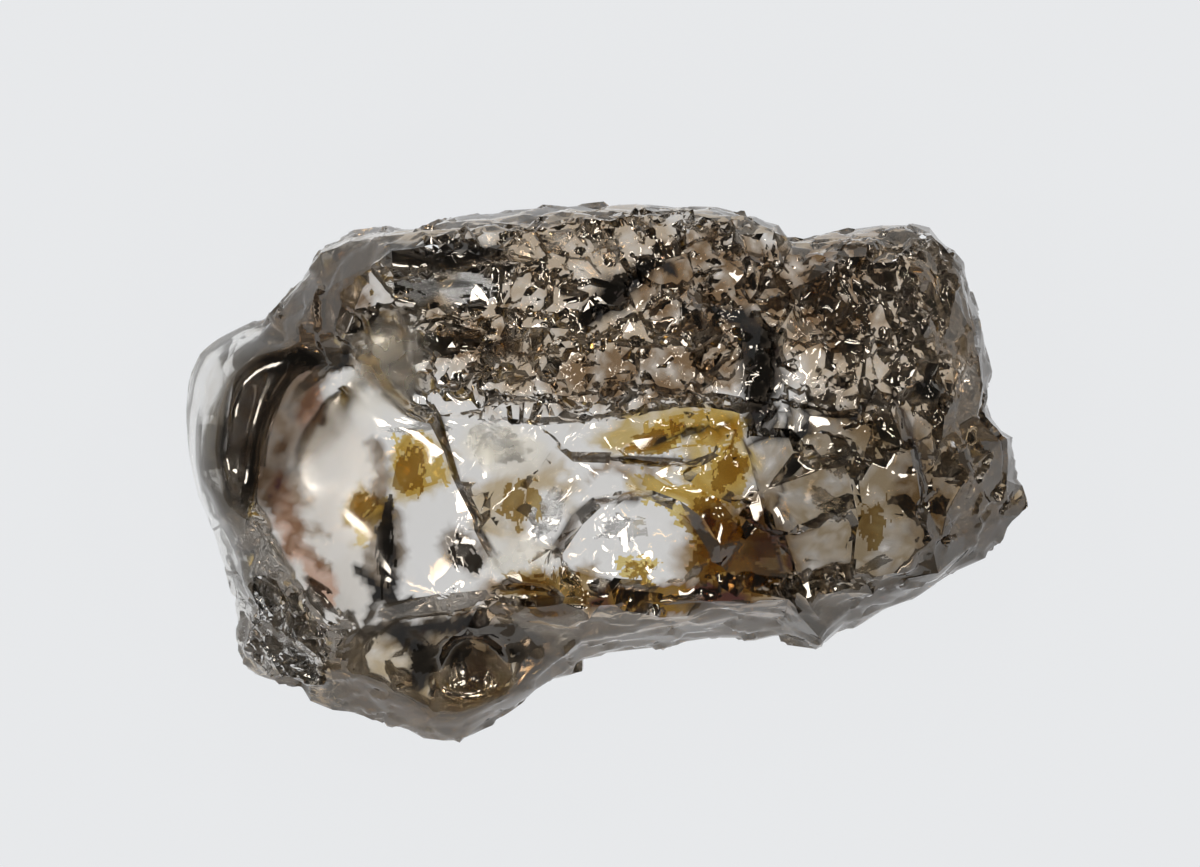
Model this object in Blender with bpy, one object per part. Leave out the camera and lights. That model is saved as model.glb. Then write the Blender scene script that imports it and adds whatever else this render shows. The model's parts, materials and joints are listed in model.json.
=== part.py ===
"""A rough diamond crystal, 8.4 mm long, lying on its flat cleavage face.

The crystal is one solid, carved in millimetres. Its top is a sheet of flat facets between the outline
and the lines where the surface turns: crowns, ridges, ledges with their feet, and three crack steps. The
outline is carried down from the girdle and cleaved by the lower facets. Conchoidal chips and a round etch
pit are cut from it, then the rough part of the top is broken into hackle. The finished mesh is scaled to
metres. +Z is up, +X runs along the crystal, and the origin is the middle of the crystal's box, on the
face that it rests on.
"""

import math

import bmesh
import bpy
from mathutils import Euler, Matrix, Vector, geometry, noise

CRYSTAL_NAME = "diamond_crystal"
METRES_PER_MM = 0.001

# The widest outline, seen from above, in millimetres. It runs clockwise from the left tip, and has a
# point wherever the edge turns.
OUTLINE = (
    (-4.22, 0.60), (-4.19, 0.98), (-4.08, 1.22), (-3.91, 1.36), (-3.67, 1.48), (-3.46, 1.55),
    (-3.40, 1.54), (-3.32, 1.68), (-3.17, 1.80), (-3.03, 1.96), (-2.92, 2.15), (-2.80, 2.28),
    (-2.62, 2.38), (-2.50, 2.43), (-2.32, 2.45), (-2.15, 2.47), (-2.03, 2.44), (-1.86, 2.44),
    (-1.74, 2.50), (-1.58, 2.56), (-1.20, 2.59), (-0.92, 2.62), (-0.62, 2.67), (-0.10, 2.68),
    (0.60, 2.68), (1.12, 2.66), (1.40, 2.60), (1.60, 2.53), (1.75, 2.48), (1.79, 2.40),
    (1.82, 2.36), (1.98, 2.35), (2.20, 2.39), (2.50, 2.45), (2.78, 2.49), (3.02, 2.49),
    (3.24, 2.45), (3.33, 2.35), (3.50, 2.21), (3.58, 2.12), (3.61, 1.96), (3.68, 1.78),
    (3.77, 1.45), (3.83, 1.18), (3.85, 1.04), (3.82, 0.90), (3.84, 0.70), (3.88, 0.56),
    (3.97, 0.44), (4.08, 0.37), (4.11, 0.20), (4.11, -0.05), (4.17, -0.12), (4.22, -0.24),
    (4.23, -0.33), (4.18, -0.42), (4.05, -0.53), (3.96, -0.66), (3.84, -0.79), (3.45, -1.00),
    (3.15, -1.18), (2.78, -1.38), (2.52, -1.53), (2.32, -1.62), (2.24, -1.70), (2.08, -1.80),
    (1.93, -1.85), (1.87, -1.81), (1.82, -1.66), (1.74, -1.63), (1.50, -1.67), (1.28, -1.66),
    (1.10, -1.65), (0.90, -1.68), (0.55, -1.74), (0.15, -1.80), (-0.22, -1.87), (-0.23, -1.98),
    (-0.35, -2.02), (-0.52, -2.07), (-0.72, -2.22), (-1.05, -2.45), (-1.30, -2.60), (-1.42, -2.66),
    (-1.62, -2.68), (-1.82, -2.65), (-1.98, -2.57), (-2.18, -2.51), (-2.42, -2.42), (-2.72, -2.35),
    (-2.95, -2.27), (-3.06, -2.17), (-3.28, -2.14), (-3.46, -2.06), (-3.63, -1.93), (-3.70, -1.78),
    (-3.71, -1.66), (-3.69, -1.45), (-3.71, -1.24), (-3.80, -1.00), (-3.87, -0.80), (-3.95, -0.56),
    (-4.02, -0.38), (-4.10, -0.22), (-4.15, -0.02), (-4.20, 0.28),
)

# The girdle is where the outline is widest: its middle height and how much it sways
GIRDLE_HEIGHT = 1.80
GIRDLE_SWAY = 0.22

# Below the girdle: how far down to the bottom of the stock, and the share of the outline's size there
LOWER_RINGS = ((0.24, 0.965), (0.50, 0.90), (0.75, 0.80), (1.00, 0.68))
STOCK_BOTTOM = -0.60

# Lines on the top where the surface turns, as points of x, y and height above the resting face
TOP_LINES = {
    "left_crown": ((-3.43, 1.36, 2.55), (-3.67, 1.26, 2.60), (-3.87, 1.12, 2.65), (-3.98, 0.79, 2.70),
        (-4.03, 0.44, 2.70), (-4.02, 0.04, 2.72), (-3.93, -0.31, 2.75), (-3.73, -0.48, 2.80)),
    "crescent_outside": ((-2.60, 1.22, 3.42), (-3.05, 1.28, 3.06), (-3.43, 1.22, 3.00),
        (-3.63, 0.99, 3.02), (-3.75, 0.64, 3.05), (-3.81, 0.24, 3.05), (-3.73, -0.16, 3.02),
        (-3.55, -0.29, 3.00)),
    "crescent_floor": ((-2.85, 1.08, 3.16), (-3.15, 0.94, 3.07), (-3.35, 0.69, 3.04),
        (-3.47, 0.34, 3.03), (-3.51, -0.04, 3.01)),
    "crescent_inside": ((-2.60, 1.02, 3.44), (-2.83, 0.84, 3.40), (-3.02, 0.54, 3.35),
        (-3.15, 0.19, 3.31), (-3.27, -0.14, 3.24), (-3.41, -0.36, 3.10)),
    "window_edge": ((-3.55, -0.29, 3.00), (-3.35, -0.54, 3.12), (-3.05, -1.01, 3.10),
        (-2.75, -1.50, 3.02), (-2.70, -1.66, 2.86)),
    "window_swell": ((-2.13, 0.34, 3.48), (-2.55, 0.24, 3.45), (-2.75, -0.31, 3.40),
        (-2.60, -0.86, 3.30), (-2.13, -0.46, 3.44), (-2.13, -1.06, 3.36), (-2.50, -1.38, 3.15)),
    "shoulder_ridge": ((-2.20, 2.36, 3.35), (-2.33, 2.04, 3.62), (-2.45, 1.64, 3.68),
        (-2.55, 1.39, 3.60), (-2.60, 1.22, 3.42), (-2.60, 1.02, 3.44)),
    "shoulder_crown": ((-3.43, 1.36, 2.55), (-3.33, 1.50, 2.55), (-3.07, 1.82, 2.70),
        (-2.80, 2.18, 2.78), (-2.53, 2.31, 3.00), (-2.20, 2.36, 3.35)),
    "shoulder_dip": ((-3.05, 1.49, 3.06), (-2.80, 1.84, 3.24)),
    "main_ridge": ((-2.10, 2.20, 3.92), (-2.09, 2.04, 3.88), (-2.07, 1.70, 3.88), (-2.02, 1.29, 3.84),
        (-1.85, 0.99, 3.80), (-1.69, 0.69, 3.76), (-1.62, 0.57, 3.74)),
    "cream_step": ((-2.38, 1.40, 3.68), (-2.26, 1.12, 3.66), (-2.08, 0.86, 3.66), (-1.88, 0.68, 3.66)),
    "cream_step_foot": ((-2.45, 1.32, 3.58), (-2.34, 1.05, 3.56), (-2.16, 0.80, 3.56),
        (-1.94, 0.62, 3.57)),
    "cream_foot": ((-2.60, 1.02, 3.44), (-2.33, 0.76, 3.47), (-2.05, 0.58, 3.50), (-1.73, 0.50, 3.54)),
    "crack_1_high": ((-1.62, 0.57, 3.74), (-1.53, 0.29, 3.66), (-1.41, -0.06, 3.62),
        (-1.25, -0.41, 3.54), (-1.07, -0.78, 3.42), (-0.97, -1.00, 3.36)),
    "crack_1_low": ((-1.73, 0.50, 3.54), (-1.60, 0.24, 3.53), (-1.48, -0.10, 3.50),
        (-1.32, -0.45, 3.44), (-1.14, -0.82, 3.36)),
    "back_crown": ((-2.20, 2.36, 3.35), (-1.55, 2.42, 3.72), (-0.85, 2.44, 3.82), (-0.25, 2.48, 3.86),
        (0.35, 2.53, 3.88), (0.85, 2.55, 3.84), (1.30, 2.48, 3.72), (1.65, 2.38, 3.50),
        (1.85, 2.25, 3.25)),
    "black_step": ((-2.10, 2.20, 3.92), (-1.65, 2.24, 4.02), (-1.07, 2.22, 4.06), (-0.65, 2.12, 4.06)),
    "black_step_foot": ((-2.09, 2.04, 3.88), (-1.65, 2.06, 3.84), (-1.03, 2.04, 3.86)),
    "back_window": ((-1.03, 2.04, 3.86), (-1.02, 1.68, 3.86), (-1.65, 1.58, 3.82), (-2.07, 1.70, 3.88)),
    "back_window_rise": ((-0.85, 1.64, 4.02), (-1.05, 1.46, 4.04), (-1.65, 1.42, 3.98),
        (-1.93, 1.44, 3.94)),
    "hackle_tops": ((-0.45, 2.04, 4.06), (0.15, 1.84, 4.12), (0.95, 2.04, 4.04)),
    "hackle_middle": ((-0.45, 1.44, 4.04), (0.35, 1.34, 4.10), (0.95, 1.44, 4.06), (1.23, 1.74, 4.00)),
    "hackle_front": ((-1.35, 0.99, 3.92), (-0.75, 0.96, 3.92), (-0.05, 0.92, 3.98), (0.75, 0.98, 3.98),
        (1.30, 1.24, 3.98)),
    "middle_step": ((-1.62, 0.57, 3.74), (-1.25, 0.65, 3.82), (-0.65, 0.62, 3.85), (-0.05, 0.63, 3.86),
        (0.45, 0.72, 3.87), (0.95, 0.78, 3.86), (1.39, 0.74, 3.84)),
    "middle_step_foot": ((-1.53, 0.29, 3.66), (-1.25, 0.54, 3.64), (-0.65, 0.50, 3.63),
        (-0.05, 0.51, 3.64), (0.45, 0.60, 3.66), (0.95, 0.66, 3.66), (1.35, 0.60, 3.64)),
    "second_step": ((-0.33, 0.24, 3.64), (0.35, 0.19, 3.62), (0.95, 0.19, 3.62)),
    "second_step_foot": ((-0.31, 0.14, 3.53), (0.35, 0.09, 3.50), (0.97, 0.10, 3.53)),
    "arch": ((-0.53, -0.74, 3.46), (-0.33, -0.41, 3.51), (-0.12, -0.22, 3.54), (0.17, -0.16, 3.55),
        (0.47, -0.16, 3.55), (0.73, -0.26, 3.53), (0.97, -0.44, 3.48), (1.13, -0.71, 3.41)),
    "arch_inside": ((-0.42, -0.78, 3.32), (-0.22, -0.48, 3.35), (-0.04, -0.32, 3.37),
        (0.20, -0.26, 3.38), (0.45, -0.26, 3.38), (0.67, -0.36, 3.37), (0.87, -0.53, 3.34),
        (1.01, -0.76, 3.29)),
    "front_rim": ((-2.50, -1.38, 3.15), (-2.05, -1.26, 3.28), (-1.65, -1.18, 3.30),
        (-0.97, -1.14, 3.30), (-0.53, -1.22, 3.24), (-0.05, -1.26, 3.20), (0.55, -1.33, 3.10),
        (1.15, -1.28, 3.05), (1.81, -1.22, 3.00)),
    "front_step_foot": ((-2.70, -1.66, 2.86), (-2.05, -1.43, 3.03), (-1.55, -1.37, 3.06),
        (-0.95, -1.37, 3.03), (-0.49, -1.46, 2.92), (-0.25, -1.62, 2.58)),
    "lobe_crown": ((-2.95, -1.94, 2.42), (-2.53, -1.98, 2.56), (-2.10, -2.18, 2.50),
        (-1.75, -2.38, 2.36), (-1.35, -2.43, 2.34), (-0.85, -2.18, 2.40), (-0.53, -1.90, 2.36),
        (-0.25, -1.62, 2.58)),
    "left_glass": ((-3.73, -0.48, 2.80), (-3.65, -0.74, 2.52), (-3.55, -1.11, 2.48),
        (-3.43, -1.36, 2.52), (-3.19, -1.66, 2.50), (-2.95, -1.94, 2.42)),
    "left_glass_foot": ((-3.63, -1.71, 2.15), (-3.37, -1.98, 2.10), (-2.95, -1.94, 2.42)),
    "flange": ((-0.25, -1.62, 2.58), (-0.01, -1.60, 2.52), (0.75, -1.48, 2.60), (1.35, -1.38, 2.66),
        (1.81, -1.30, 2.74)),
    "crack_2_low": ((1.35, 0.60, 3.64), (1.37, 0.34, 3.62), (1.52, -0.16, 3.55), (1.67, -0.66, 3.36),
        (1.78, -1.06, 3.12), (1.93, -1.38, 2.78), (2.15, -1.66, 2.36)),
    "crack_2_high": ((1.44, 0.38, 3.70), (1.60, -0.14, 3.67), (1.75, -0.64, 3.52), (1.86, -1.02, 3.30),
        (2.03, -1.32, 2.98), (2.23, -1.54, 2.52)),
    "black_wall": ((1.23, 1.74, 4.00), (1.35, 1.49, 4.00), (1.39, 1.14, 3.96), (1.39, 0.74, 3.84)),
    "black_wall_foot": ((1.53, 1.74, 3.80), (1.63, 1.49, 3.74), (1.67, 1.14, 3.70), (1.67, 0.70, 3.66)),
    "comb": ((1.44, 0.38, 3.70), (1.95, 0.36, 3.56), (1.97, 0.54, 3.56), (2.57, 0.52, 3.56),
        (2.68, 0.88, 3.60)),
    "comb_top": ((1.67, 0.70, 3.66), (1.93, 0.62, 3.68), (2.51, 0.61, 3.70), (2.60, 0.94, 3.74)),
    "right_block": ((2.35, 0.12, 3.60), (2.80, 0.04, 3.56), (2.50, -0.46, 3.48), (1.95, -0.86, 3.38)),
    "right_front": ((2.03, -1.32, 2.98), (2.35, -1.03, 3.16), (2.85, -0.96, 3.12), (3.31, -0.98, 2.84)),
    "crack_3_high": ((2.68, 0.88, 3.60), (2.85, 0.64, 3.57), (2.98, 0.34, 3.54), (3.07, -0.06, 3.48),
        (3.15, -0.41, 3.40), (3.25, -0.66, 3.22)),
    "crack_3_low": ((2.79, 0.94, 3.50), (2.94, 0.66, 3.43), (3.07, 0.36, 3.37), (3.16, -0.04, 3.31),
        (3.24, -0.38, 3.23), (3.34, -0.62, 3.06)),
    "right_back": ((1.85, 1.84, 3.74), (2.45, 2.12, 3.62), (2.95, 2.16, 3.52), (3.45, 1.74, 3.28)),
    "right_plateau": ((2.05, 1.34, 3.72), (2.65, 1.44, 3.74), (3.15, 1.54, 3.54), (3.35, 0.94, 3.32)),
    "right_crown": ((1.85, 2.25, 3.25), (2.07, 2.24, 3.22), (2.45, 2.31, 3.30), (2.95, 2.36, 3.30),
        (3.25, 2.34, 3.20), (3.50, 2.02, 3.05), (3.65, 1.44, 2.95), (3.74, 0.89, 2.85),
        (3.69, 0.58, 2.85), (3.94, 0.33, 2.60), (3.99, -0.06, 2.50), (3.93, -0.41, 2.40),
        (3.65, -0.71, 2.45), (3.31, -0.98, 2.84)),
    "right_end": ((3.35, 0.34, 3.18), (3.57, -0.04, 3.06), (3.39, -0.38, 3.10)),
    "right_skirt": ((2.23, -1.54, 2.52), (2.45, -1.36, 2.50), (2.95, -1.16, 2.46), (3.31, -0.98, 2.84)),
}

# A lower facet faces an azimuth, anticlockwise from +X, leans from level by an angle, both in degrees,
# and passes through a point. Past 90 degrees of lean it faces down.
LOWER_FACETS = (
    (262, 128, (-1.6, -2.64, 1.10)), (292, 128, (0.5, -1.75, 1.15)), (338, 126, (3.6, -0.95, 1.20)),
    (20, 134, (3.9, 0.80, 1.30)), (62, 130, (3.2, 2.20, 1.20)), (98, 126, (0.5, 2.60, 1.20)),
    (140, 132, (-2.8, 2.20, 1.10)), (176, 138, (-3.9, 0.40, 1.20)), (208, 128, (-3.7, -1.40, 1.10)),
    (236, 140, (-2.4, -2.30, 1.10)), (258, 134, (-1.4, -2.45, 1.15)), (35, 156, (2.6, 1.50, 0.25)),
    (150, 158, (-2.4, 1.30, 0.25)), (285, 158, (0.5, -1.30, 0.20)), (215, 156, (-2.5, -1.30, 0.25)),
    (335, 152, (2.8, -0.80, 0.25)),
)
STOCK_SIZE = 14.0

# Conchoidal chips: centre and radii of the ellipsoid that was broken out
CHIPS = {
    "back_chip": ((0.95, 2.98, 3.30), (0.95, 0.42, 0.55)),
    "corner_chip": ((3.62, 2.30, 2.90), (0.42, 0.36, 0.40)),
    "notch_chip": ((1.88, 2.62, 2.60), (0.24, 0.34, 1.10)),
    "rim_chip": ((-4.02, -0.42, 2.62), (0.16, 0.30, 0.36)),
    "tip_chip": ((4.32, -0.62, 1.70), (0.42, 0.30, 0.60)),
    "flange_chip": ((1.38, -1.86, 1.55), (0.55, 0.20, 0.60)),
    "lower_left_chip": ((-3.60, 0.90, 0.45), (0.80, 1.10, 0.75)),
    "lower_right_chip": ((3.55, -0.60, 0.40), (0.70, 0.95, 0.70)),
    "lower_back_chip": ((-1.10, 2.85, 0.75), (1.00, 0.60, 0.65)),
    "flash_hollow": ((-0.95, 0.42, 3.92), (0.44, 0.30, 0.36)),
    "gold_hollow": ((1.22, 0.20, 3.84), (0.24, 0.28, 0.30)),
    "rim_hollow": ((-0.75, -1.22, 3.42), (0.46, 0.20, 0.34)),
    "block_hollow": ((2.22, 0.24, 3.92), (0.44, 0.28, 0.42)),
    "block_front_hollow": ((2.45, -1.14, 3.36), (0.46, 0.24, 0.38)),
    "shard_hollow": ((-3.42, -1.30, 2.72), (0.20, 0.34, 0.28)),
}
CHIP_SUBDIVISIONS = 4

# The round etch pit: where its mouth is, its lean in degrees, its sizes and the sides of its wall
PIT_MOUTH = (-1.32, -1.93, 2.66)
PIT_LEAN = (17.0, 4.0, 10.0)
PIT_RADIUS = 0.37
PIT_FLOOR_RADIUS = 0.27
PIT_DEPTH = 0.17
PIT_SIDES = 11

# The arch stays whole: the wide chips fade out around this oval
ARCH_MIDDLE = (0.30, -0.55)
ARCH_RADII = (0.90, 0.52)

# Edges are split to these lengths. The hackle is then broken in chips of two sizes, the front in wide ones
HACKLE_EDGE = 0.10
FRONT_EDGE = 0.17
CLEAN_EDGE = 0.60
SPLIT_ROUNDS = 5
TRIANGLES = 9600
WIDE_CHIP = 0.80
WIDE_DEPTH = 0.75
LARGE_CHIP = 0.42
SMALL_CHIP = 0.20
CHIP_SHIFT = Vector((3.1, 5.7, 1.3))
SWELL = 0.10


def remove_default_objects():
    """Empties the scene, so that only the crystal is left in it."""
    for obj in list(bpy.data.objects):
        bpy.data.objects.remove(obj)


def object_from(bm, name):
    """Puts a bmesh in the scene as an object."""
    mesh = bpy.data.meshes.new(name)
    bm.to_mesh(mesh)
    bm.free()
    obj = bpy.data.objects.new(name, mesh)
    bpy.context.scene.collection.objects.link(obj)
    return obj


def bake_modifiers(obj):
    """Replaces the object's mesh with what its modifiers make of it."""
    graph = bpy.context.evaluated_depsgraph_get()
    mesh = bpy.data.meshes.new_from_object(obj.evaluated_get(graph))
    obj.modifiers.clear()
    obj.data = mesh


def combine(obj, other, operation):
    """Cuts the other solid from obj, or keeps what both share, and removes it."""
    modifier = obj.modifiers.new(operation.lower(), "BOOLEAN")
    modifier.operation = operation
    modifier.solver = "EXACT"
    modifier.object = other
    bake_modifiers(obj)
    bpy.data.objects.remove(other)


def girdle_height(x, y):
    """Height of the girdle where the outline passes x, y."""
    turn = math.atan2(y, x)
    return GIRDLE_HEIGHT + GIRDLE_SWAY * (math.sin(turn + 0.6) + 0.6 * math.sin(3 * turn + 1.9))


def top_points_and_lines():
    """The outline and the lines of the top, as points without repeats and pairs of their numbers."""
    points = [Vector((x, y, girdle_height(x, y))) for x, y in OUTLINE]
    number = {(p.x, p.y): i for i, p in enumerate(points)}
    pairs = []
    for line in TOP_LINES.values():
        chain = []
        for place in line:
            key = place[:2]
            if key not in number:
                number[key] = len(points)
                points.append(Vector(place))
            chain.append(number[key])
        pairs += list(zip(chain, chain[1:]))
    return points, pairs


def body():
    """The faceted top, closed below the girdle by the outline carried down to the stock's bottom."""
    points, pairs = top_points_and_lines()
    count = len(OUTLINE)
    rim = list(range(count))
    flat, _, faces, _, _, _ = geometry.delaunay_2d_cdt(
        [p.xy for p in points], pairs, [rim], 1, 1e-5,
    )
    bm = bmesh.new()
    top = []
    for place in flat:
        nearest = min(points, key=lambda p: (p.xy - place).length)
        top.append(bm.verts.new((place.x, place.y, nearest.z)))
    for face in faces:
        bm.faces.new([top[i] for i in face])
    above = top[:count]
    for share_down, share in LOWER_RINGS:
        ring = []
        for x, y in OUTLINE:
            girdle = girdle_height(x, y)
            height = girdle + (STOCK_BOTTOM - girdle) * share_down
            ring.append(bm.verts.new((x * share, y * share, height)))
        for i in range(count):
            j = (i + 1) % count
            bm.faces.new((above[i], above[j], ring[j], ring[i]))
        above = ring
    bm.faces.new(above)
    bmesh.ops.triangulate(bm, faces=bm.faces)
    bmesh.ops.recalc_face_normals(bm, faces=bm.faces)
    return object_from(bm, "body")


def faceted_block(name, facets):
    """A block of stock cut down to its facets. It is convex, so each cut leaves one flat face."""
    bm = bmesh.new()
    bmesh.ops.create_cube(bm, size=STOCK_SIZE)
    for azimuth, lean, point in facets:
        a, b = math.radians(azimuth), math.radians(lean)
        normal = Vector((math.sin(b) * math.cos(a), math.sin(b) * math.sin(a), math.cos(b)))
        cut = bmesh.ops.bisect_plane(
            bm, geom=bm.verts[:] + bm.edges[:] + bm.faces[:], dist=1e-5,
            plane_co=point, plane_no=normal, clear_outer=True,
        )
        edges = [e for e in cut["geom_cut"] if isinstance(e, bmesh.types.BMEdge)]
        bmesh.ops.edgeloop_fill(bm, edges=edges)
    bmesh.ops.recalc_face_normals(bm, faces=bm.faces)
    return object_from(bm, name)


def chip(name, centre, radii):
    """The ellipsoid that leaves a conchoidal hollow."""
    bm = bmesh.new()
    bmesh.ops.create_icosphere(bm, subdivisions=CHIP_SUBDIVISIONS, radius=1.0)
    bmesh.ops.transform(bm, matrix=Matrix.LocRotScale(Vector(centre), None, Vector(radii)), verts=bm.verts)
    return object_from(bm, name)


def pit(name, mouth, lean, radius, floor_radius, depth, sides):
    """A pit's cutter: it narrows from above its mouth, where it has its radius, to its floor."""
    bm = bmesh.new()
    flare = (radius - floor_radius) / depth
    bmesh.ops.create_cone(
        bm, cap_ends=True, segments=sides, radius1=floor_radius,
        radius2=floor_radius + 2 * depth * flare, depth=2 * depth,
    )
    tilt = Euler([math.radians(t) for t in lean])
    bmesh.ops.transform(bm, matrix=Matrix.LocRotScale(Vector(mouth), tilt, None), verts=bm.verts)
    return object_from(bm, name)


def smooth_step(value, low, high):
    """0 below low, 1 above high, and a soft rise between."""
    t = min(max((value - low) / (high - low), 0.0), 1.0)
    return t * t * (3 - 2 * t)


def hackle_share(p):
    """How broken the surface is at a point, from 0 on a clean face to 1 on the hackle."""
    on_top = smooth_step(p.z, 2.95, 3.45)
    stray = noise.noise(p * 1.7)
    hackle = smooth_step(p.y + 0.22 * stray, 0.45, 0.80) * smooth_step(p.x + 0.30 * stray, -2.05, -1.70)
    window = smooth_step(max(abs(p.x + 1.52) / 0.55, abs(p.y - 1.84) / 0.24), 0.85, 1.10)
    end = 0.55 * smooth_step(p.x, 3.00, 3.40)
    shard = 0.9 * (1 - smooth_step((p.xy - Vector((-3.12, -1.66))).length, 0.36, 0.68))
    return max(on_top * hackle * window, on_top * end, shard)


def front_share(p):
    """How far the front of the top, between the first crack and the end, is broken in wide chips."""
    on_top = smooth_step(p.z, 2.75, 3.05)
    along = smooth_step(p.x, -1.60, -1.15) * (1 - smooth_step(p.x, 3.10, 3.40))
    off_arch = Vector(((p.x - ARCH_MIDDLE[0]) / ARCH_RADII[0], (p.y - ARCH_MIDDLE[1]) / ARCH_RADII[1]))
    clear_of_arch = 0.15 + 0.85 * smooth_step(off_arch.length, 0.95, 1.25)
    return on_top * along * clear_of_arch * (1 - hackle_share(p))


def broken_height(p, size):
    """Height of a surface broken in flat chips of this size, each with its own lean and level."""
    _, middles = noise.voronoi(p / size)
    middle = middles[0]
    lean = noise.cell_vector(middle * 7.3) - Vector((0.5, 0.5, 0.5))
    level = noise.cell(middle * 5.1 + Vector((9.0, 2.0, 4.0))) - 0.5
    return (0.42 * lean.dot(p / size - middle) + 0.13 * level) * size


def split_long_edges(bm):
    """Splits long edges, round by round, until they can carry the chips or the bend of a clean face."""
    for _ in range(SPLIT_ROUNDS):
        long_edges = []
        for e in bm.edges:
            rough = max(hackle_share(v.co) for v in e.verts)
            front = max(front_share(v.co) for v in e.verts)
            limit = HACKLE_EDGE if rough > 0.05 else FRONT_EDGE if front > 0.05 else CLEAN_EDGE
            if e.calc_length() > limit:
                long_edges.append(e)
        bmesh.ops.subdivide_edges(bm, edges=long_edges, cuts=1)
        bmesh.ops.triangulate(bm, faces=[f for f in bm.faces if len(f.verts) > 3])


def break_surface(obj):
    """Raises and sinks the vertices of the hackle and the front along their normals."""
    bm = bmesh.new()
    bm.from_mesh(obj.data)
    bmesh.ops.remove_doubles(bm, verts=bm.verts, dist=0.004)
    bmesh.ops.dissolve_degenerate(bm, edges=bm.edges, dist=0.004)
    bmesh.ops.triangulate(bm, faces=bm.faces)
    split_long_edges(bm)
    bm.normal_update()
    places = []
    for v in bm.verts:
        swell = SWELL * noise.noise(v.co * 1.6)
        rough = swell + broken_height(v.co, LARGE_CHIP) + 0.6 * broken_height(v.co + CHIP_SHIFT, SMALL_CHIP)
        wide = WIDE_DEPTH * broken_height(v.co, WIDE_CHIP)
        places.append(v.co + v.normal * (rough * hackle_share(v.co) + wide * front_share(v.co)))
    for v, at in zip(bm.verts, places):
        v.co = at
    bm.to_mesh(obj.data)
    bm.free()


def spend_triangles(obj):
    """Merges triangles where the surface is flat, until the crystal has its number of them."""
    modifier = obj.modifiers.new("triangles", "DECIMATE")
    modifier.ratio = TRIANGLES / len(obj.data.polygons)
    bake_modifiers(obj)


def cleave_base(obj):
    """Cleaves the crystal flat at the level that it rests on."""
    bm = bmesh.new()
    bm.from_mesh(obj.data)
    cut = bmesh.ops.bisect_plane(
        bm, geom=bm.verts[:] + bm.edges[:] + bm.faces[:], dist=1e-5,
        plane_co=(0, 0, 0), plane_no=(0, 0, -1), clear_outer=True,
    )
    edges = [e for e in cut["geom_cut"] if isinstance(e, bmesh.types.BMEdge)]
    bmesh.ops.holes_fill(bm, edges=edges)
    bmesh.ops.triangulate(bm, faces=bm.faces)
    bmesh.ops.recalc_face_normals(bm, faces=bm.faces)
    bm.to_mesh(obj.data)
    bm.free()


def centre_in_metres(obj):
    """Centres the crystal over the origin, on its base, and scales it from millimetres to metres."""
    corners = [v.co for v in obj.data.vertices]
    low = Vector([min(c[i] for c in corners) for i in range(3)])
    high = Vector([max(c[i] for c in corners) for i in range(3)])
    middle = (low + high) / 2
    shift = Matrix.Translation((-middle.x, -middle.y, -low.z))
    obj.data.transform(Matrix.Scale(METRES_PER_MM, 4) @ shift)


def diamond_material():
    """Smoky, faintly brown diamond."""
    material = bpy.data.materials.new("smoky_diamond")
    material.use_nodes = True
    shader = material.node_tree.nodes["Principled BSDF"]
    shader.inputs["Base Color"].default_value = (0.30, 0.26, 0.21, 1.0)
    shader.inputs["Roughness"].default_value = 0.12
    shader.inputs["Metallic"].default_value = 0.0
    shader.inputs["IOR"].default_value = 2.42
    shader.inputs["Transmission Weight"].default_value = 1.0
    return material


def carve_crystal():
    """Builds the whole crystal and leaves it in a collection of its own."""
    crystal = body()
    combine(crystal, faceted_block("lower_facets", LOWER_FACETS), "INTERSECT")
    for name, (centre, radii) in CHIPS.items():
        combine(crystal, chip(name, centre, radii), "DIFFERENCE")
    etch = pit("etch_pit", PIT_MOUTH, PIT_LEAN, PIT_RADIUS, PIT_FLOOR_RADIUS, PIT_DEPTH, PIT_SIDES)
    combine(crystal, etch, "DIFFERENCE")
    break_surface(crystal)
    spend_triangles(crystal)
    cleave_base(crystal)
    centre_in_metres(crystal)
    crystal.name = crystal.data.name = CRYSTAL_NAME
    crystal.data.materials.append(diamond_material())
    collection = bpy.data.collections.new(CRYSTAL_NAME)
    bpy.context.scene.collection.children.link(collection)
    bpy.context.scene.collection.objects.unlink(crystal)
    collection.objects.link(crystal)


remove_default_objects()
carve_crystal()
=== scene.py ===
"""Dresses the rough diamond crystal: its broken and smooth faces, its smoke, its stained fractures,
its graphite, and the light table that it lies on.
"""

import json
import logging
import math
from abc import ABC, abstractmethod
from collections.abc import Callable
from dataclasses import dataclass, field
from enum import Enum

import bpy
import numpy as np
from mathutils import Matrix, Vector, noise

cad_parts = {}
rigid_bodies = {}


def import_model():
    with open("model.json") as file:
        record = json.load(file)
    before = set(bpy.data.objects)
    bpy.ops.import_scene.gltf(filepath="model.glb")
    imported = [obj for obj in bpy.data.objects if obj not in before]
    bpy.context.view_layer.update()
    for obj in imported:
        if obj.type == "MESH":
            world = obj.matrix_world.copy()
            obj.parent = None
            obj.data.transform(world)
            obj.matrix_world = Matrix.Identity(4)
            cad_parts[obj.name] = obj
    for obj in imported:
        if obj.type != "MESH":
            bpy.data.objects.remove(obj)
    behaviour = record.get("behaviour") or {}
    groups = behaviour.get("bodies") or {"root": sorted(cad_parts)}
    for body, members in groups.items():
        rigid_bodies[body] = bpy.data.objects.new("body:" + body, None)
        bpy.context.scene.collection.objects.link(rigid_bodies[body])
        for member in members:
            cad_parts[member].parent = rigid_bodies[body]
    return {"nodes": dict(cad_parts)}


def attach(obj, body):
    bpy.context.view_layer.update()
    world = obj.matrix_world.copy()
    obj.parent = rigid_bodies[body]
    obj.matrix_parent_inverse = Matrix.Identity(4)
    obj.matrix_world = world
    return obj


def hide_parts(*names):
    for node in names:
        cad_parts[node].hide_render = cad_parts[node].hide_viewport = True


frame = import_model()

log = logging.getLogger("diamond_crystal")

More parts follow.
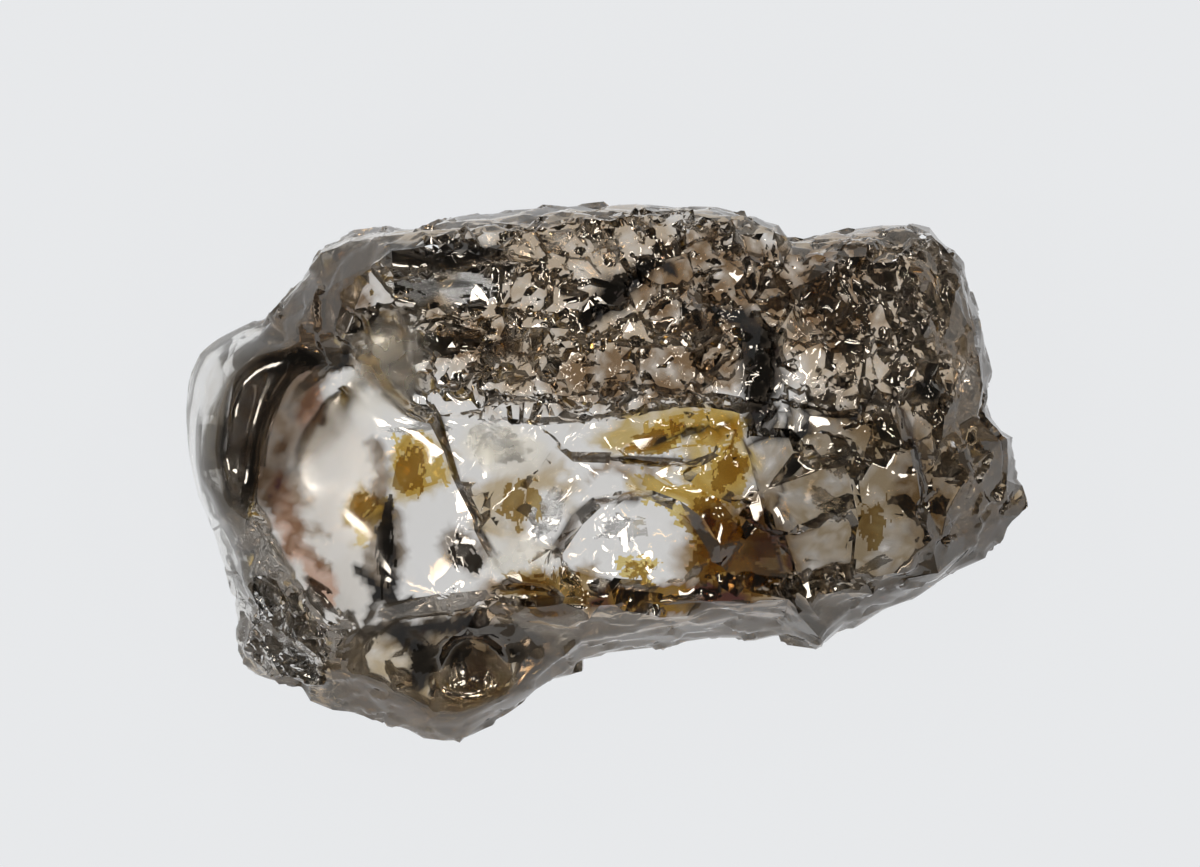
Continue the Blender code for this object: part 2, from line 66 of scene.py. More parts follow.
MM = 0.001
CRYSTAL_NODE = "diamond_crystal"
ROOT_BODY = "root"

Colour = tuple[float, float, float]


def deselect_all() -> None:
    """Leaves object mode with nothing selected."""
    if bpy.context.object and bpy.context.object.mode != "OBJECT":
        bpy.ops.object.mode_set(mode="OBJECT")
    bpy.ops.object.select_all(action="DESELECT")


def make_active(obj: bpy.types.Object) -> None:
    """Selects one object and makes it the active one.

    Args:
        obj: The object that the next operators act on.
    """
    deselect_all()
    obj.select_set(True)
    bpy.context.view_layer.objects.active = obj


def apply_all_modifiers(obj: bpy.types.Object) -> None:
    """Applies an object's modifiers in their order.

    Args:
        obj: The object whose mesh takes on its modifiers.
    """
    make_active(obj)
    for modifier in list(obj.modifiers):
        bpy.ops.object.modifier_apply(modifier=modifier.name)


class Wiring:
    """Short calls for adding and joining shader nodes in one node tree."""

    def __init__(self, tree: bpy.types.NodeTree) -> None:
        """Starts from an empty node tree.

        Args:
            tree: The node tree of a material or of the room.
        """
        self.tree = tree
        self.tree.nodes.clear()

    def node(self, kind: str, **values: object) -> bpy.types.Node:
        """Adds a node.

        Args:
            kind: Blender's name for the kind of node.
            **values: The node's own settings.

        Returns:
            The new node.
        """
        made = self.tree.nodes.new(kind)
        for name, value in values.items():
            setattr(made, name, value)
        return made

    def join(self, source: bpy.types.NodeSocket, target: bpy.types.NodeSocket) -> None:
        """Links an output to an input."""
        self.tree.links.new(source, target)


@dataclass(frozen=True)
class LampRow:
    """A ring of small square lamps that hang over the crystal and face it."""

    name: str
    count: int
    lift: float
    first_turn: float
    distance: float
    size: float
    radiance: float

    def places(self) -> list[Vector]:
        """Spaces the lamps evenly round the ring.

        Returns:
            Where they hang, in metres.
        """
        lift = math.radians(self.lift)
        out, up = self.distance * math.cos(lift), self.distance * math.sin(lift)
        turns = [math.radians(self.first_turn + 360 * i / self.count) for i in range(self.count)]
        return [Vector((out * math.cos(turn), out * math.sin(turn), up)) for turn in turns]

    def power(self) -> float:
        """The power that gives one lamp its radiance, in watts."""
        return self.radiance * math.pi * self.size ** 2


@dataclass
class Studio:
    """The light table, the lamps, the room and the camera above the crystal."""

    table_half: float = 30 * MM
    table_drop: float = 0.03 * MM
    table_glow: float = 0.80
    lamp_rows: tuple[LampRow, ...] = (
        LampRow("low_lamp", 7, 56, 138, 90 * MM, 8 * MM, 18.0),
        LampRow("middle_lamp", 5, 65, 162, 92 * MM, 7 * MM, 18.0),
        LampRow("high_lamp", 4, 74, 115, 95 * MM, 6 * MM, 19.0),
    )
    low_room: Colour = (0.40, 0.36, 0.31)
    high_room: Colour = (0.07, 0.068, 0.064)
    room_fade: tuple[float, float] = (0.0, 0.42)
    camera_height: float = 122 * MM
    camera_shift: tuple[float, float] = (-0.055 * MM, 0.405 * MM)
    view_width: float = 12.0 * MM
    focus_height: float = 2.0 * MM

    def build_table(self) -> bpy.types.Object:
        """Lays the pale glowing table just under the crystal.

        Returns:
            The table.
        """
        deselect_all()
        bpy.ops.mesh.primitive_plane_add(size=2 * self.table_half, location=(0, 0, -self.table_drop))
        table = bpy.context.object
        table.name = "light_table"
        material = bpy.data.materials.new("pale_glowing_table")
        material.use_nodes = True
        wiring = Wiring(material.node_tree)
        shader = wiring.node("ShaderNodeBsdfPrincipled")
        shader.inputs["Base Color"].default_value = (0.05, 0.05, 0.05, 1)
        shader.inputs["Roughness"].default_value = 0.9
        shader.inputs["Specular IOR Level"].default_value = 0.0
        shader.inputs["Emission Color"].default_value = (0.965, 0.98, 1.0, 1)
        shader.inputs["Emission Strength"].default_value = self.table_glow
        out = wiring.node("ShaderNodeOutputMaterial")
        wiring.join(shader.outputs[0], out.inputs["Surface"])
        material.cycles.emission_sampling = "NONE"
        table.data.materials.append(material)
        return table

    def hang_lamps(self, row: LampRow) -> None:
        """Hangs a ring of lamps.

        Args:
            row: How many lamps there are, and where and how bright they are.
        """
        for number, place in enumerate(row.places(), 1):
            deselect_all()
            bpy.ops.object.light_add(type="AREA", location=place)
            lamp = bpy.context.object
            lamp.name = f"{row.name}_{number}"
            lamp.data.shape = "SQUARE"
            lamp.data.size = row.size
            lamp.data.energy = row.power()
            lamp.rotation_euler = (-place).to_track_quat("-Z", "Y").to_euler()

    def build_room(self) -> None:
        """Makes the room pale near the table and dim overhead."""
        world = bpy.data.worlds.new("room")
        bpy.context.scene.world = world
        world.use_nodes = True
        wiring = Wiring(world.node_tree)
        direction = wiring.node("ShaderNodeTexCoord")
        split = wiring.node("ShaderNodeSeparateXYZ")
        wiring.join(direction.outputs["Generated"], split.inputs[0])
        fade = wiring.node("ShaderNodeMapRange")
        fade.inputs["From Min"].default_value, fade.inputs["From Max"].default_value = self.room_fade
        wiring.join(split.outputs["Z"], fade.inputs["Value"])
        blend = wiring.node("ShaderNodeMix", data_type="RGBA")
        low, high = (socket for socket in blend.inputs if socket.type == "RGBA")
        low.default_value = (*self.low_room, 1)
        high.default_value = (*self.high_room, 1)
        wiring.join(fade.outputs[0], blend.inputs["Factor"])
        light = wiring.node("ShaderNodeBackground")
        wiring.join(next(socket for socket in blend.outputs if socket.type == "RGBA"), light.inputs["Color"])
        out = wiring.node("ShaderNodeOutputWorld")
        wiring.join(light.outputs[0], out.inputs["Surface"])

    def build(self) -> None:
        """Sets up the table, the lamps, the room and the camera."""
        self.build_table()
        for row in self.lamp_rows:
            self.hang_lamps(row)
        self.build_room()
        deselect_all()
        x, y = self.camera_shift
        bpy.ops.object.camera_add(location=(x, y, self.camera_height), rotation=(0, 0, 0))
        camera = bpy.context.object
        camera.name = "overhead_camera"
        camera.data.sensor_width = 36
        camera.data.lens = 36 * (self.camera_height - self.focus_height) / self.view_width
        camera.data.clip_start = 0.001
        scene = bpy.context.scene
        scene.camera = camera
        scene.view_settings.view_transform = "Standard"
        scene.cycles.max_bounces = 7
        scene.cycles.transmission_bounces = 6
        scene.cycles.transparent_max_bounces = 8
        scene.cycles.use_denoising = True
        scene.cycles.caustics_refractive = True
        log.info("studio: light table, lamps, room, camera")


def smooth_step(value: np.ndarray, low: float, high: float) -> np.ndarray:
    """Rises softly from 0 to 1.

    Args:
        value: The numbers that it reads.
        low: Where it starts to rise.
        high: Where it ends.

    Returns:
        An array of the same length.
    """
    share = np.clip((value - low) / (high - low), 0, 1)
    return share * share * (3 - 2 * share)


class Mark(ABC):
    """A patch of the crystal, in millimetres, seen from above."""

    @abstractmethod
    def mask(self, x: np.ndarray, y: np.ndarray) -> np.ndarray:
        """How much each place belongs to the patch.

        Args:
            x: The places' x.
            y: The places' y.

        Returns:
            From 0 outside to 1 inside.
        """


@dataclass(frozen=True)
class Oval(Mark):
    """An oval with a soft edge."""

    middle: tuple[float, float]
    radii: tuple[float, float]
    turn: float = 0.0
    softness: float = 0.35

    def mask(self, x: np.ndarray, y: np.ndarray) -> np.ndarray:
        """How much each place belongs to the oval.

        Args:
            x: The places' x.
            y: The places' y.

        Returns:
            From 0 outside to 1 inside.
        """
        angle = math.radians(self.turn)
        dx, dy = x - self.middle[0], y - self.middle[1]
        along = (dx * math.cos(angle) + dy * math.sin(angle)) / self.radii[0]
        across = (dy * math.cos(angle) - dx * math.sin(angle)) / self.radii[1]
        reach = np.hypot(along, across)
        return 1 - smooth_step(reach, 1 - self.softness / 2, 1 + self.softness / 2)


@dataclass(frozen=True)
class Stroke(Mark):
    """A line through points, with a width at each of them."""

    points: tuple[tuple[float, float], ...]
    widths: tuple[float, ...]
    softness: float = 0.4

    def mask(self, x: np.ndarray, y: np.ndarray) -> np.ndarray:
        """How much each place belongs to the line.

        Args:
            x: The places' x.
            y: The places' y.

        Returns:
            From 0 outside to 1 inside.
        """
        found = np.zeros_like(x)
        runs = zip(self.points, self.points[1:], self.widths, self.widths[1:])
        for (x0, y0), (x1, y1), width_0, width_1 in runs:
            length_2 = (x1 - x0) ** 2 + (y1 - y0) ** 2
            along = np.clip(((x - x0) * (x1 - x0) + (y - y0) * (y1 - y0)) / length_2, 0, 1)
            off = np.hypot(x - x0 - along * (x1 - x0), y - y0 - along * (y1 - y0))
            half = (width_0 + along * (width_1 - width_0)) / 2
            found = np.maximum(found, 1 - smooth_step(off / half, 1 - self.softness, 1 + self.softness))
        return found


@dataclass(frozen=True)
class Coat:
    """What a stain, or a patch of painted shade, does to the surface that it covers.

    Args:
        tint: The colour that it gives to light on its way through.
        frost: The roughness that it gives the surface.
        ragged: How far its edge wanders, in millimetres.
        patchy: How uneven it is, from 0 to 1.
        bare: Whether the stains under it are missing.
    """

    tint: Colour
    frost: float = 0.03
    ragged: float = 0.10
    patchy: float = 0.5
    bare: bool = False


HACKLE_BROWN = Coat((0.68, 0.57, 0.44), 0.05, 0.25)
DEEP_BROWN = Coat((0.42, 0.33, 0.24), 0.06, 0.22, 0.9)
# Painted shade: the dark band of the concave crescent on the left lobe.
CRESCENT_SHADE = Coat((0.24, 0.18, 0.13), 0.10, 0.10, 0.3)
SHOULDER_GREY = Coat((0.60, 0.51, 0.43), 0.10)
BLOCK_SMOKE = Coat((0.32, 0.25, 0.16), 0.04, 0.18)
END_SMOKE = Coat((0.42, 0.32, 0.20), 0.05, 0.20)
FRONT_SMOKE = Coat((0.66, 0.55, 0.38), 0.06, 0.20)
AMBER = Coat((0.30, 0.17, 0.03), 0.05, 0.12, 0.1)
GOLD = Coat((0.68, 0.52, 0.21), 0.06, 0.16)
GRAPHITE = Coat((0.03, 0.022, 0.016), 0.06, 0.06, 0.1)
GREY_GRAPHITE = Coat((0.30, 0.25, 0.20), 0.10, 0.10, 0.6)
CRACK = Coat((0.12, 0.09, 0.07), 0.05, 0.02, 0.4)
WINDOW_FROST = Coat((0.93, 0.90, 0.86), 0.26, 0.05, 0.3)
RIM_FROST = Coat((1.0, 1.0, 1.0), 0.07, 0.05, 0.2, True)
CREAM = Coat((0.98, 0.94, 0.85), 0.30, 0.08, 0.5, True)
WINDOW = Coat((1.0, 0.99, 0.98), 0.02, 0.04, 0.1, True)
RED_BROWN = Coat((0.74, 0.52, 0.42), 0.08, 0.10, 0.3)
# Painted shade: darkens the steep strips along the front, lower right and right end edges.
EDGE_STRIP_SHADE = Coat((0.36, 0.29, 0.22), 0.06, 0.05)


@dataclass(frozen=True)
class SmokyDiamond:
    """The finish of the crystal: clear, smoky brown diamond whose surface carries stains and painted shade.

    Args:
        ior: How strongly diamond bends light.
        mirror_tint: What the brown film on the surface leaves of the light that it mirrors.
        smoke: The colour that light takes on inside.
        smoke_density: How soon it takes it on, per metre.
    """

    ior: float = 2.42
    mirror_tint: Colour = (0.47, 0.42, 0.36)
    smoke: Colour = (0.60, 0.52, 0.42)
    smoke_density: float = 75.0

    def material(self) -> bpy.types.Material:
        """Wires the finish.

        Returns:
            The material.
        """
        material = bpy.data.materials.new("smoky_diamond_finish")
        material.use_nodes = True
        wiring = Wiring(material.node_tree)
        shader = wiring.node("ShaderNodeBsdfPrincipled")
        shader.inputs["IOR"].default_value = self.ior
        shader.inputs["Transmission Weight"].default_value = 1.0
        shader.inputs["Specular Tint"].default_value = (*self.mirror_tint, 1)
        # The stain attribute also holds the painted shade of the flanks, the edge strips and the crescent.
        stain = wiring.node("ShaderNodeAttribute", attribute_name="stain")
        frost = wiring.node("ShaderNodeAttribute", attribute_name="frost")
        wiring.join(stain.outputs["Color"], shader.inputs["Base Color"])
        wiring.join(frost.outputs["Fac"], shader.inputs["Roughness"])
        smoke = wiring.node("ShaderNodeVolumeAbsorption")
        smoke.inputs["Color"].default_value = (*self.smoke, 1)
        smoke.inputs["Density"].default_value = self.smoke_density
        out = wiring.node("ShaderNodeOutputMaterial")
        wiring.join(shader.outputs[0], out.inputs["Surface"])
        wiring.join(smoke.outputs[0], out.inputs["Volume"])
        return material


@dataclass
class SurfaceStainsAndShade:
    """What stains the crystal's top, and where shade is painted on it, from the broadest patch to the finest
    crack.
    """

    clean_tint: Colour = (0.985, 0.975, 0.96)
    clean_frost: float = 0.003
    top_starts: tuple[float, float] = (0.4, 0.9)
    facing_up: tuple[float, float] = (-0.05, 0.10)
    # Painted shade: steep flanks on the top are tinted darker brown by how steeply they face.
    flank_shade_tint: Colour = (0.50, 0.41, 0.29)
    flank_shade_starts: tuple[float, float] = (0.62, 0.42)
    marks: tuple[tuple[Coat, Mark], ...] = (
        (HACKLE_BROWN, Oval((0.05, 1.62), (2.15, 0.98))),
        (HACKLE_BROWN, Oval((2.70, 1.50), (1.00, 1.05))),
        (DEEP_BROWN, Oval((1.05, 1.85), (0.75, 0.55))),
        (DEEP_BROWN, Oval((0.35, 0.98), (1.10, 0.26), 4)),
        (DEEP_BROWN, Oval((-1.30, 1.28), (0.60, 0.20), -6)),
        (DEEP_BROWN, Oval((2.30, 1.75), (0.50, 0.55), 30)),
        (SHOULDER_GREY, Oval((-2.95, 1.65), (0.75, 0.45), 42)),
        (DEEP_BROWN, Oval((-2.75, 1.60), (0.40, 0.30), 30)),
        (BLOCK_SMOKE, Oval((2.40, -0.40), (1.05, 1.12))),
        (END_SMOKE, Oval((3.60, 0.00), (0.75, 0.95))),
        (FRONT_SMOKE, Oval((-1.45, -2.00), (1.35, 0.60))),
        (FRONT_SMOKE, Oval((-0.80, -0.25), (0.50, 0.45))),
        (DEEP_BROWN, Oval((-0.60, -1.20), (0.75, 0.28))),
        (DEEP_BROWN, Oval((0.15, 0.02), (0.40, 0.14))),
        # Painted shade on the steep edge strips.
        (EDGE_STRIP_SHADE, Stroke(((-0.2, -1.62), (1.0, -1.56), (1.9, -1.38)), (0.3, 0.36, 0.3))),
        (EDGE_STRIP_SHADE, Stroke(((2.1, -1.70), (3.1, -1.10), (4.0, -0.55)), (0.4, 0.5, 0.4))),
        (EDGE_STRIP_SHADE, Stroke(((3.75, 1.9), (3.85, 0.9), (4.1, 0.1)), (0.3, 0.3, 0.3))),
        (FRONT_SMOKE, Stroke(((-2.9, -2.15), (-1.6, -2.6), (-0.5, -2.0)), (0.5, 0.5, 0.4))),
        (WINDOW_FROST, Oval((-2.70, -0.35), (0.62, 1.15), 12)),
        (RIM_FROST, Stroke(((-3.60, 1.35), (-4.00, 0.90), (-4.10, 0.20), (-3.95, -0.40)),
                           (0.35, 0.50, 0.50, 0.40))),
        (RIM_FROST, Stroke(((-3.90, -0.50), (-3.62, -1.10), (-3.55, -1.60)), (0.40, 0.50, 0.40))),
        (RIM_FROST, Stroke(((-3.30, 1.72), (-2.70, 2.32), (-2.20, 2.42)), (0.22, 0.22, 0.16))),
        (CREAM, Oval((-2.14, 1.08), (0.36, 0.56), -20, 0.6)),
        (WINDOW, Oval((-1.86, 1.87), (0.22, 0.16), -14, 0.3)),
        (WINDOW, Oval((-1.36, 1.82), (0.30, 0.18), -6, 0.3)),
        (WINDOW, Oval((-1.66, -0.72), (0.36, 0.50), 0, 0.4)),
        (WINDOW, Oval((-0.58, -0.40), (0.20, 0.28), -10, 0.4)),
        (WINDOW, Oval((0.20, -0.52), (0.34, 0.16), 0, 0.5)),
        (CREAM, Oval((-1.00, 0.26), (0.42, 0.24), -10, 0.5)),
        (CREAM, Oval((-0.85, -0.80), (0.34, 0.20), 0, 0.5)),
        (AMBER, Oval((1.30, -0.80), (0.58, 0.60), 0, 0.5)),
        (AMBER, Oval((0.55, -1.22), (0.85, 0.16))),
        (GOLD, Oval((0.70, 0.44), (0.78, 0.20), 6)),
        (GOLD, Oval((1.15, 0.15), (0.38, 0.34), 20)),
        (GOLD, Oval((-1.78, 0.10), (0.30, 0.34))),
        (GOLD, Oval((-2.38, -0.38), (0.20, 0.26), -40)),
        (GOLD, Oval((-0.55, -1.14), (0.52, 0.22))),
        (GOLD, Stroke(((0.30, -0.12), (0.62, -0.10), (0.95, -0.28), (1.08, -0.55)),
                      (0.10, 0.20, 0.26, 0.14))),
        (RED_BROWN, Oval((-2.93, 0.68), (0.14, 0.28))),
        (RED_BROWN, Stroke(((-3.25, 0.00), (-3.20, -0.40), (-2.92, -0.90), (-2.72, -1.25)),
                           (0.1, 0.3, 0.24, 0.1))),
        # Painted shade along the concave crescent band.
        (CRESCENT_SHADE, Stroke(((-2.90, 1.05), (-3.22, 0.80), (-3.40, 0.30), (-3.38, -0.12)),
                                (0.40, 0.80, 0.78, 0.46))),
        (DEEP_BROWN, Stroke(((-3.30, 0.10), (-3.15, -0.35), (-2.90, -0.80)), (0.50, 0.40, 0.20))),
        (GREY_GRAPHITE, Oval((-2.18, -0.72), (0.20, 0.50), -4)),
        (GREY_GRAPHITE, Stroke(((-2.30, 0.30), (-2.18, -0.05), (-2.22, -0.40)), (0.14, 0.22, 0.1))),
        (GREY_GRAPHITE, Oval((-1.40, -0.75), (0.24, 0.20), -30)),
        (GREY_GRAPHITE, Oval((-2.95, 1.12), (0.55, 0.16), 4)),
        (GRAPHITE, Stroke(((-3.30, 1.05), (-3.00, 1.17), (-2.62, 1.12), (-2.50, 1.30)),
                          (0.10, 0.18, 0.18, 0.08))),
        (GRAPHITE, Stroke(((-2.16, -0.52), (-2.14, -0.95), (-2.05, -1.25)), (0.12, 0.20, 0.08))),
        (GRAPHITE, Stroke(((-2.45, -0.95), (-2.25, -1.15), (-2.38, -1.50)), (0.10, 0.13, 0.10))),
        (GRAPHITE, Stroke(((-2.25, -1.15), (-2.00, -1.32), (-1.88, -1.20)), (0.12, 0.10, 0.05))),
        (GRAPHITE, Stroke(((-2.45, -1.60), (-2.20, -1.50), (-1.95, -1.65)), (0.08, 0.12, 0.08))),
        (GRAPHITE, Stroke(((-2.10, 2.19), (-1.50, 2.17), (-1.08, 2.20)), (0.20, 0.30, 0.18))),
        (GRAPHITE, Stroke(((-0.20, 1.52), (0.05, 1.74), (0.38, 2.02)), (0.20, 0.38, 0.18))),
        (GRAPHITE, Stroke(((0.55, 2.05), (0.68, 1.98)), (0.08, 0.10))),
        (GRAPHITE, Stroke(((1.05, 1.65), (1.35, 1.50), (1.50, 1.30), (1.55, 0.95), (1.50, 0.55)),
                          (0.12, 0.28, 0.42, 0.46, 0.32))),
        (GRAPHITE, Stroke(((1.50, 0.35), (1.95, 0.36)), (0.07, 0.07))),
        (GRAPHITE, Stroke(((1.72, 0.66), (1.66, 0.38)), (0.06, 0.10))),
        (GRAPHITE, Stroke(((1.84, 0.70), (1.80, 0.40)), (0.07, 0.09))),
        (GRAPHITE, Stroke(((2.02, 0.76), (2.00, 0.45), (1.90, 0.36)), (0.08, 0.13, 0.08))),
        (GRAPHITE, Stroke(((2.12, 0.59), (2.50, 0.57), (2.60, 0.72), (2.66, 0.92)),
                          (0.04, 0.05, 0.08, 0.04))),
        (GRAPHITE, Oval((3.20, 0.85), (0.16, 0.10), 10)),
        (GREY_GRAPHITE, Stroke(((-2.10, -1.58), (-1.40, -1.60), (-0.60, -1.75)), (0.34, 0.40, 0.30))),
        (GRAPHITE, Stroke(((-2.02, -1.52), (-1.82, -1.80), (-1.86, -2.10)), (0.24, 0.34, 0.16))),
        (GRAPHITE, Stroke(((-2.0, -1.52), (-1.3, -1.50), (-0.7, -1.62)), (0.14, 0.22, 0.12))),
        (GRAPHITE, Stroke(((-0.95, -1.66), (-0.80, -1.90)), (0.16, 0.08))),
        (GREY_GRAPHITE, Oval((-1.32, -1.95), (0.22, 0.20))),
        (GRAPHITE, Stroke(((0.45, 0.30), (0.85, 0.42), (1.20, 0.50)), (0.05, 0.11, 0.05))),
        (CRACK, Stroke(((-0.32, 0.17), (0.35, 0.16), (0.95, 0.14)), (0.03, 0.05, 0.03))),
        (CRACK, Stroke(((-1.62, 0.55), (-1.56, 0.25), (-1.40, -0.20), (-1.24, -0.50), (-1.10, -0.78)),
                       (0.07, 0.06, 0.05, 0.04, 0.04))),
        (CRACK, Stroke(((-0.48, -0.72), (-0.30, -0.42), (-0.10, -0.26), (0.45, -0.22), (0.62, -0.30)),
                       (0.12, 0.11, 0.07, 0.05, 0.03))),
        (CRACK, Stroke(((1.38, 0.35), (1.52, -0.16), (1.70, -0.75), (1.80, -1.15), (1.98, -1.40)),
                       (0.04, 0.04, 0.04, 0.05, 0.06))),
        (CRACK, Stroke(((2.80, 0.90), (2.98, 0.50), (3.10, 0.10), (3.20, -0.30)), (0.05, 0.08, 0.08, 0.05))),
        (GRAPHITE, Stroke(((2.00, -1.42), (2.22, -1.62)), (0.08, 0.16))),
        (CRACK, Stroke(((1.78, -0.02), (1.68, -0.30), (1.82, -0.42)), (0.06, 0.05, 0.03))),
    )
    wander_scales: tuple[float, float] = (4.0, 11.0)
    mottle_scale: float = 5.0
    mottle_middle: float = 0.2
    stained_below: float = 0.75
    grain_starts: tuple[float, float] = (0.1, 0.7)
    grain_depth: float = 0.45
    darkest: float = 0.03
    shader_root: int = 2

    def apply(self, mesh: bpy.types.Mesh) -> None:
        """Gives a mesh's points their stain, painted shade included, and their frost.

        The stain is stored as its square, because the shader takes the root of its colour for
        light that it lets through.

        Args:
            mesh: The crystal's mesh, in metres.
        """
        count = len(mesh.vertices)
        places = np.empty(count * 3)
        mesh.vertices.foreach_get("co", places)
        places = places.reshape(-1, 3) / MM
        broad, fine = self.wander_scales
        wander = np.array([noise.noise_vector(Vector(p) * broad) + 0.5 * noise.noise_vector(Vector(p) * fine)
                           for p in places])
        mottle = np.array([noise.fractal(Vector(p) * self.mottle_scale, 0.8, 2.0, 4) for p in places])
        facing = np.array([v.normal.z for v in mesh.vertices])
        on_top = smooth_step(places[:, 2], *self.top_starts) * smooth_step(facing, *self.facing_up)
        # Painted shade on the steep flanks, chosen by their facing.
        shaded_flank = on_top * smooth_step(-facing, *(-edge for edge in self.flank_shade_starts))
        tint = np.array(self.clean_tint) * (1 + shaded_flank[:, None] * (np.array(self.flank_shade_tint) - 1))
        frost = np.full(count, self.clean_frost)
        for coat, mark in self.marks:
            x = places[:, 0] + coat.ragged * wander[:, 0]
            y = places[:, 1] + coat.ragged * wander[:, 1]
            share = mark.mask(x, y) * on_top
            share *= np.clip(1 + coat.patchy * (mottle - self.mottle_middle), 0, 1)
            if coat.bare:
                tint += share[:, None] * (1 - tint)
            tint *= 1 + share[:, None] * (np.array(coat.tint) - 1)
            frost += share * (coat.frost - frost)
        stained = smooth_step(self.stained_below - tint[:, 0], 0.0, 0.3)
        tint *= (1 - self.grain_depth * stained * smooth_step(-mottle, *self.grain_starts))[:, None]
        stain = np.ones((count, 4), dtype=np.float32)
        stain[:, :3] = np.clip(tint, self.darkest, 1) ** self.shader_root
        # The stain attribute also holds the painted shade of the flanks, the edge strips and the crescent.
        painted = mesh.color_attributes.new("stain", "FLOAT_COLOR", "POINT")
        painted.data.foreach_set("color", stain.ravel())
        rough = mesh.attributes.new("frost", "FLOAT", "POINT")
        rough.data.foreach_set("value", frost.astype(np.float32))


@dataclass
class CrystalBody:
    """The crystal's outside, made from the carved solid."""

    finish: SmokyDiamond = field(default_factory=SmokyDiamond)
    stains_and_shade: SurfaceStainsAndShade = field(default_factory=SurfaceStainsAndShade)
    hackle_edge: float = 0.055 * MM
    top_edge: float = 0.10 * MM
    skirt_edge: float = 0.09 * MM
    side_edge: float = 0.40 * MM
    split_rounds: int = 5
    glassy_lobes: tuple[Oval, ...] = (
        Oval((-3.35, 0.40), (0.95, 1.25)), Oval((-2.55, -0.40), (0.85, 1.20)),
        Oval((-1.40, -2.10), (1.00, 0.45)),
    )
    soften_rounds: int = 30
    hackle: tuple[tuple[Oval, float], ...] = (
        (Oval((0.05, 1.60), (2.10, 0.98)), 1.0), (Oval((2.70, 1.50), (1.00, 1.05)), 1.0),
        (Oval((-3.10, -1.60), (0.60, 0.60)), 1.0), (Oval((3.60, 0.0), (0.60, 0.85)), 1.0),
        (Oval((-2.75, 1.55), (0.55, 0.60)), 0.6), (Oval((-1.45, -2.05), (1.20, 0.55)), 0.35),
        (Oval((0.40, -1.58), (1.70, 0.22)), 0.4),
    )
    calm: tuple[Mark, ...] = (
        Oval((-1.55, 1.84), (0.56, 0.26)),
        Stroke(((-0.20, 1.52), (0.05, 1.74), (0.38, 2.02)), (0.20, 0.40, 0.18)),
        Stroke(((1.15, 1.60), (1.35, 1.50), (1.50, 1.30), (1.55, 0.95), (1.50, 0.55)),
               (0.10, 0.30, 0.44, 0.48, 0.34)),
        Stroke(((-2.10, 2.19), (-1.50, 2.17), (-1.08, 2.20)), (0.20, 0.28, 0.18)),
    )
    chip_sizes: tuple[float, ...] = (0.36,)
    chip_lean: float = 0.27
    lean_spread: float = 6.1
    skirt_share: float = 0.95
    glassy_rim: Oval = Oval((-4.0, 0.30), (0.95, 1.30))
    ripple: float = 0.008
    ripple_pitch: float = 0.55
    top_level: float = 2.2 * MM
    skirt_level: float = 0.9 * MM
    base_fade: tuple[float, float] = (0.5, 1.0)
    steep_facing: tuple[float, float] = (0.35, 0.65)
    hackle_starts: tuple[float, float] = (2.0, 2.4)
    lobe_starts: tuple[float, float] = (0.9, 1.4)
    least_share: float = 0.01
    weld: float = 1e-4 * MM
    crisp_above: float = 10

    def split_long_edges(self, piece: bpy.types.Object) -> None:
        """Splits long edges, so that the surface can be broken, rounded and stained finely.

        Args:
            piece: The crystal piece.
        """
        for _ in range(self.split_rounds):
            make_active(piece)
            bpy.ops.object.mode_set(mode="EDIT")
            bpy.ops.mesh.select_mode(type="EDGE")
            bpy.ops.mesh.select_all(action="DESELECT")
            bpy.ops.object.mode_set(mode="OBJECT")
            mesh = piece.data
            places = np.empty(len(mesh.vertices) * 3)
            mesh.vertices.foreach_get("co", places)
            places = places.reshape(-1, 3)
            ends = np.empty(len(mesh.edges) * 2, dtype=np.int64)
            mesh.edges.foreach_get("vertices", ends)
            first, last = places[ends[0::2]], places[ends[1::2]]
            length = np.linalg.norm(first - last, axis=1)
            upper_end = np.maximum(first[:, 2], last[:, 2])
            rough = self.hackle_share((first + last) / 2 / MM) > 0.5
            limit = np.where(upper_end > self.skirt_level, self.skirt_edge, self.side_edge)
            top_limit = np.where(rough, self.hackle_edge, self.top_edge)
            limit = np.where(upper_end > self.top_level, top_limit, limit)
            mesh.edges.foreach_set("select", length > limit)
            bpy.ops.object.mode_set(mode="EDIT")
            bpy.ops.mesh.subdivide(number_cuts=1)
            bpy.ops.mesh.select_all(action="SELECT")
            bpy.ops.mesh.quads_convert_to_tris()
            bpy.ops.object.mode_set(mode="OBJECT")

    def hackle_share(self, places: np.ndarray) -> np.ndarray:
        """How broken the surface is.

        Args:
            places: Points in millimetres.

        Returns:
            From 0 on a clean face to 1 on the hackle, for each point.
        """
        share = np.zeros(len(places))
        for zone, depth in self.hackle:
            share = np.maximum(share, depth * zone.mask(places[:, 0], places[:, 1]))
        for mark in self.calm:
            share = share * (1 - mark.mask(places[:, 0], places[:, 1]))
        return share * smooth_step(places[:, 2], *self.hackle_starts)

    def soften(self, piece: bpy.types.Object) -> None:
        """Rounds the glassy lobes, which broke in curves and not in flat faces.

        Args:
            piece: The crystal piece.
        """
        group = piece.vertex_groups.new(name="glassy_lobes")
        places = np.array([v.co for v in piece.data.vertices]) / MM
        weight = np.zeros(len(places))
        for lobe in self.glassy_lobes:
            weight = np.maximum(weight, lobe.mask(places[:, 0], places[:, 1]))
        weight *= smooth_step(places[:, 2], *self.lobe_starts) * (1 - self.hackle_share(places))
        for index in np.nonzero(weight > self.least_share)[0]:
            group.add([int(index)], float(weight[index]), "REPLACE")
        soften = piece.modifiers.new("soften", "SMOOTH")
        soften.factor = 0.5
        soften.iterations = self.soften_rounds
        soften.vertex_group = group.name
        apply_all_modifiers(piece)

